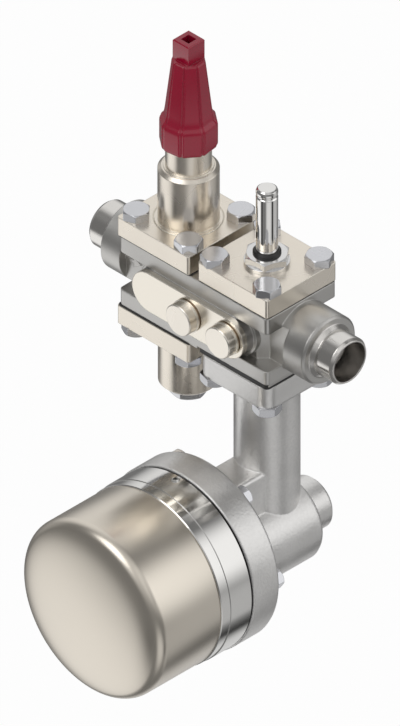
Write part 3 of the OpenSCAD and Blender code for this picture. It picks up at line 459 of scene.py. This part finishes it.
def dome(material, centre, radius, rise):
    """Lets a turned front shade as a shallow dome. Its height is the rise times the cosine of an angle that
    grows evenly from nothing at the centre to a quarter turn at the rim."""
    tree = material.node_tree
    away = tree.nodes.new("ShaderNodeVectorMath")
    away.operation = "SUBTRACT"
    link(tree, tree.nodes.new("ShaderNodeTexCoord").outputs["Object"], away.inputs[0])
    away.inputs[1].default_value = (centre.x, 0, centre.z)
    split = tree.nodes.new("ShaderNodeSeparateXYZ")
    link(tree, away.outputs[0], split.inputs[0])
    distance = distance_node(tree, split.outputs["X"], split.outputs["Z"])
    wave = value_node(tree, "COSINE", value_node(tree, "MULTIPLY", distance, math.pi / 2 / radius))
    swell = tree.nodes.new("ShaderNodeBump")
    swell.inputs["Strength"].default_value = 1
    swell.inputs["Distance"].default_value = rise
    link(tree, wave, swell.inputs["Height"])
    grain_bump = next(node for node in tree.nodes if node.type == "BUMP" and node != swell)
    link(tree, swell.outputs[0], grain_bump.inputs["Normal"])


dome(pot_nickel, pot_axis, pot_radius, SWELL)
put_in_place(pot, pot_nickel, "station", "drawn_pot", "float_pot")
dress(turned_steel, "float_ball")


# Pot ring
# A turned and polished steel ring, bolted to the flange from behind. It has a fine groove near its
# front, a tapped hole for a grub screw on top, and a rounded bead where the pot begins.
# A sealed joint lies behind it. The ring's back part is coloured near black and shows as a dark line.
RING_DARK_FROM_Y = -79.6 * MM
ring_steel = finish("ring_steel", (0.76, 0.75, 0.73), 0.12, grain=(500, 0), tone=0.03, edge=0,
                    gloss_spread=0.02)
# The ring's back part is coloured near black from this limit on.
change_where(ring_steel, (0.03, 0.03, 0.03), 0.6, [("Y", "GREATER_THAN", RING_DARK_FROM_Y)])
dress(ring_steel, "pot_ring")


# Studio
# A white floor far below the station, white surroundings, and soft lamps at a plain level.
# Polished metal sees a few broad soft panels of light between greyer walls.
FLOOR_Z = -0.75
FLOOR_HALF = 6.0
FLOOR_PALE = 0.85
FLOOR_ROUGHNESS = 0.9
FLOOR_GLOW = 0.95
WALL_GREY = 0.19
DARKEST = 0.02
MATTE_LIGHT = 0.6

# Each panel is an azimuth, a height, the angle up to which it is full, the angle at which it ends, and a
# strength. A strength below zero is a dark gap.
PANELS = [
    (-140, -45, 12, 34, 0.85),
    (-26, -36, 6, 30, 0.55),
    (41, 20, 8, 34, 0.95),
    (140, 38, 18, 50, 0.68),
    (-60, 55, 20, 60, 0.4),
    (45, -32, 8, 34, 0.32),
    (180, 0, 5, 25, 0.2),
    (-101, -36, 3, 10, -0.3),
    (14, -36, 3, 10, -0.3),
    (66, -46, 3, 12, -0.3),
    (118, -56, 8, 26, 0.5)]


def toward(azimuth, height):
    """The direction at an azimuth and a height, given in degrees."""
    az, el = math.radians(azimuth), math.radians(height)
    return Vector((math.cos(az) * math.cos(el), math.sin(az) * math.cos(el), math.sin(el)))


def studio_world():
    """White to the camera, soft grey to matte surfaces, and panels of light to shiny ones."""
    world = bpy.data.worlds.new("studio")
    world.use_nodes = True
    tree = world.node_tree
    tree.nodes.clear()
    sight = tree.nodes.new("ShaderNodeTexCoord").outputs["Generated"]
    total = None
    for azimuth, height, inner, outer, strength in PANELS:
        near = tree.nodes.new("ShaderNodeVectorMath")
        near.operation = "DOT_PRODUCT"
        link(tree, sight, near.inputs[0])
        near.inputs[1].default_value = toward(azimuth, height)
        ends, full = math.cos(math.radians(outer)), math.cos(math.radians(inner))
        lit = spread(tree, near.outputs["Value"], ends, full, 0, strength)
        lit.node.interpolation_type = "SMOOTHSTEP"
        total = lit if total is None else value_node(tree, "ADD", total, lit)
    total = value_node(tree, "MAXIMUM", value_node(tree, "ADD", total, WALL_GREY), DARKEST)
    rays = tree.nodes.new("ShaderNodeLightPath")
    shiny = tree.nodes.new("ShaderNodeBackground")
    link(tree, total, shiny.inputs["Strength"])
    matte = tree.nodes.new("ShaderNodeBackground")
    matte.inputs["Strength"].default_value = MATTE_LIGHT
    seen = tree.nodes.new("ShaderNodeBackground")
    for lamp in (shiny, matte, seen):
        lamp.inputs["Color"].default_value = (1, 1, 1, 1)
    by_gloss = tree.nodes.new("ShaderNodeMixShader")
    link(tree, rays.outputs["Is Glossy Ray"], by_gloss.inputs[0])
    link(tree, matte.outputs[0], by_gloss.inputs[1])
    link(tree, shiny.outputs[0], by_gloss.inputs[2])
    by_camera = tree.nodes.new("ShaderNodeMixShader")
    link(tree, rays.outputs["Is Camera Ray"], by_camera.inputs[0])
    link(tree, by_gloss.outputs[0], by_camera.inputs[1])
    link(tree, seen.outputs[0], by_camera.inputs[2])
    out = tree.nodes.new("ShaderNodeOutputWorld")
    link(tree, by_camera.outputs[0], out.inputs["Surface"])
    bpy.context.scene.world = world


def white_floor():
    """A large plane that is white to the camera and pale under the lamps."""
    corners = np.array([(-FLOOR_HALF, -FLOOR_HALF, FLOOR_Z), (FLOOR_HALF, -FLOOR_HALF, FLOOR_Z),
                        (FLOOR_HALF, FLOOR_HALF, FLOOR_Z), (-FLOOR_HALF, FLOOR_HALF, FLOOR_Z)])
    floor = surface("floor", corners, np.array([[0, 1, 2, 3]]))
    material = bpy.data.materials.new("floor_paper")
    material.use_nodes = True
    tree = material.node_tree
    shader = tree.nodes["Principled BSDF"]
    shader.inputs["Base Color"].default_value = (FLOOR_PALE, FLOOR_PALE, FLOOR_PALE, 1)
    shader.inputs["Roughness"].default_value = FLOOR_ROUGHNESS
    bright = tree.nodes.new("ShaderNodeEmission")
    rays = tree.nodes.new("ShaderNodeLightPath")
    mix = tree.nodes.new("ShaderNodeMixShader")
    link(tree, value_node(tree, "MULTIPLY", rays.outputs["Is Camera Ray"], FLOOR_GLOW), mix.inputs[0])
    link(tree, shader.outputs[0], mix.inputs[1])
    link(tree, bright.outputs[0], mix.inputs[2])
    link(tree, mix.outputs[0], tree.nodes["Material Output"].inputs["Surface"])
    floor.data.materials.append(material)
    floor.visible_glossy = False


def soft_sun(name, azimuth, height, strength, spread_angle):
    """A broad lamp far away, at an azimuth and a height in degrees."""
    data = bpy.data.lights.new(name, "SUN")
    data.energy = strength
    data.angle = math.radians(spread_angle)
    lamp = bpy.data.objects.new(name, data)
    lamp.rotation_euler = toward(azimuth, height).to_track_quat("Z", "Y").to_euler()
    bpy.context.scene.collection.objects.link(lamp)


studio_world()
white_floor()
soft_sun("key", azimuth=-100, height=50, strength=0.6, spread_angle=40)
soft_sun("fill", azimuth=0, height=35, strength=0.2, spread_angle=60)


# Camera
# A true isometric view from the front right, above, with no perspective. The picture's height in pixels
# and its scale give the height of the view in metres.
AIM = Vector((86.47, 0, -69.27)) * MM
BACK = Vector((1, -1, 1)).normalized()
CAMERA_AWAY = 1.5
PICTURE_HEIGHT = 726
PIXELS_PER_METRE = 1540
camera_data = bpy.data.cameras.new("camera")
camera_data.type = "ORTHO"
camera_data.ortho_scale = PICTURE_HEIGHT / PIXELS_PER_METRE
camera_data.clip_end = 20
camera = bpy.data.objects.new("camera", camera_data)
camera.location = AIM + CAMERA_AWAY * BACK
camera.rotation_euler = BACK.to_track_quat("Z", "Y").to_euler()
bpy.context.scene.collection.objects.link(camera)
bpy.context.scene.camera = camera
bpy.context.scene.view_settings.view_transform = "Standard"
